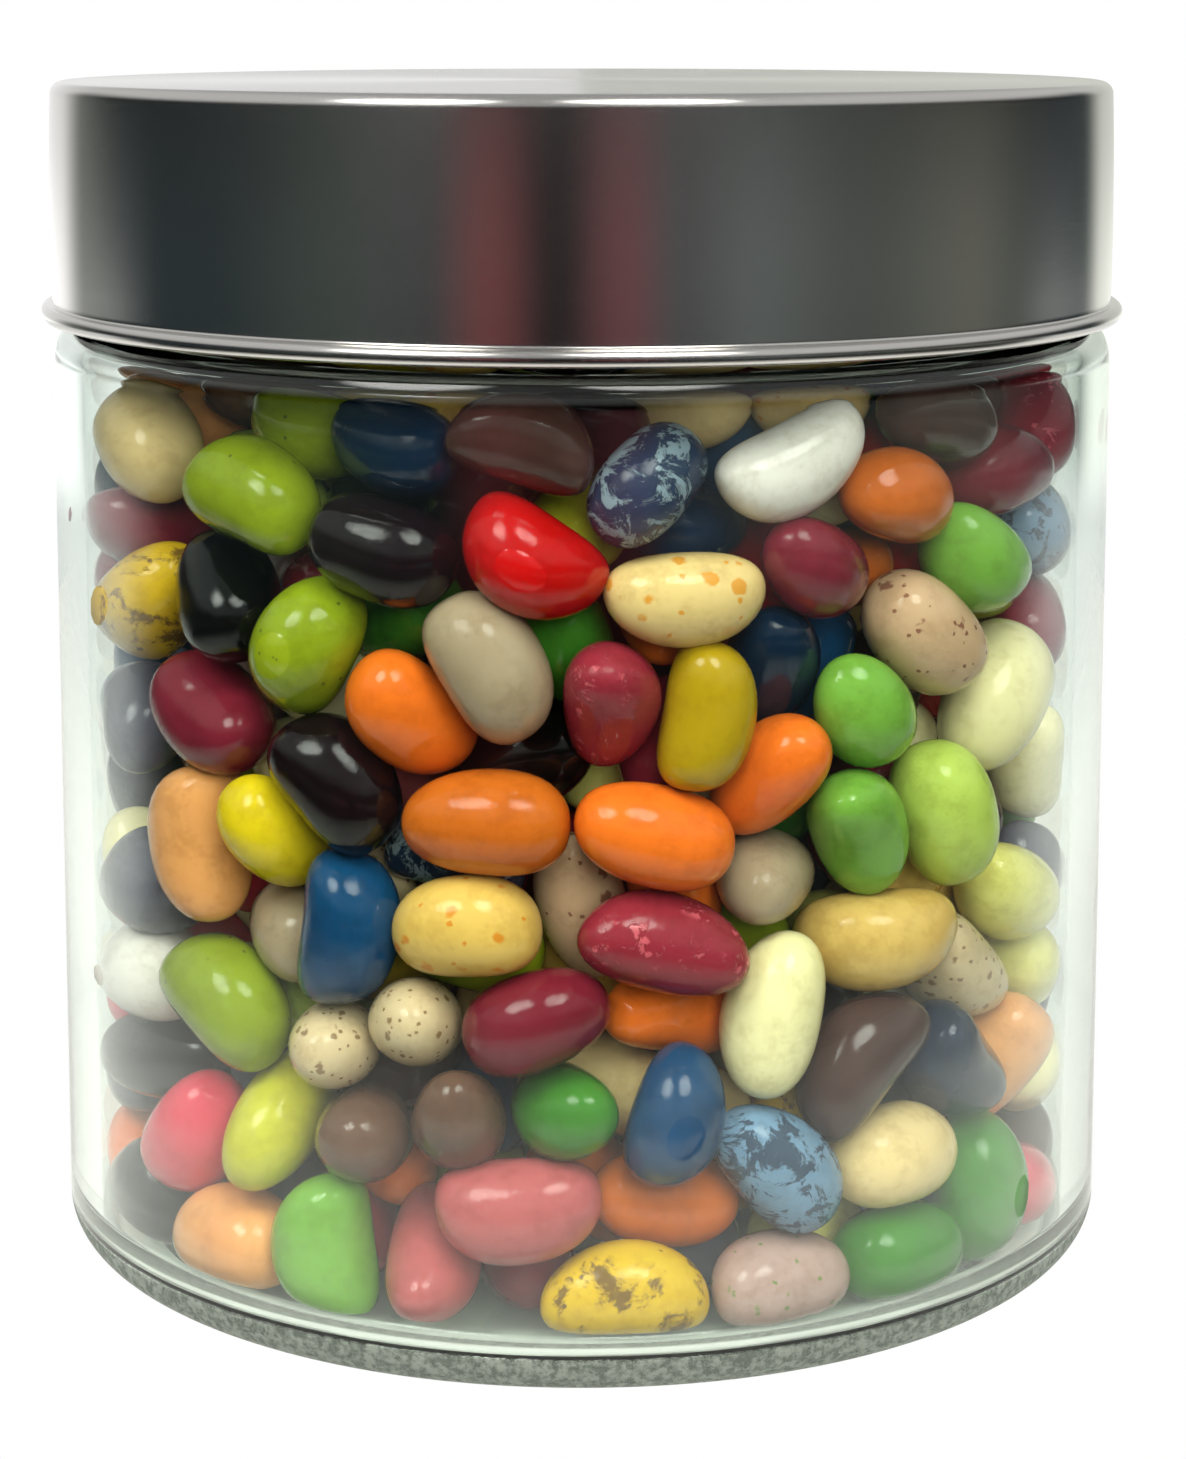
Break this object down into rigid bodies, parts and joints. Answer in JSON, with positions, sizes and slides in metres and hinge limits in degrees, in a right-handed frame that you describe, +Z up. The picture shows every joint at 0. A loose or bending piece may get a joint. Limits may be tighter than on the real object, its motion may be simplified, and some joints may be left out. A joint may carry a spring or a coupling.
{
  "type": "jar of jelly beans",
  "caption": "Round glass sweet jar with a push-on brushed steel cap, filled to the shoulder with jelly beans in mixed colours.",
  "frame": {"origin": "centre of the jar's underside, at the height of the surface it stands on", "axes": "+Z up along the jar's turning axis, -Y towards the picture's camera, +X to its right"},
  "size_m": [0.1226, 0.1226, 0.132],
  "materials": {
    "glass": "clear polished soda-lime glass",
    "lid_steel": "fine circular brushing with a polished edge",
    "jelly_beans": "polished sugar shell in mixed colours; gloss plastic stands in for sugar"
  },
  "bodies": {
    "root": {"glass_jar": "glass", "lid": "lid_steel", "jelly_beans": "jelly_beans"}
  },
  "joints": []
}
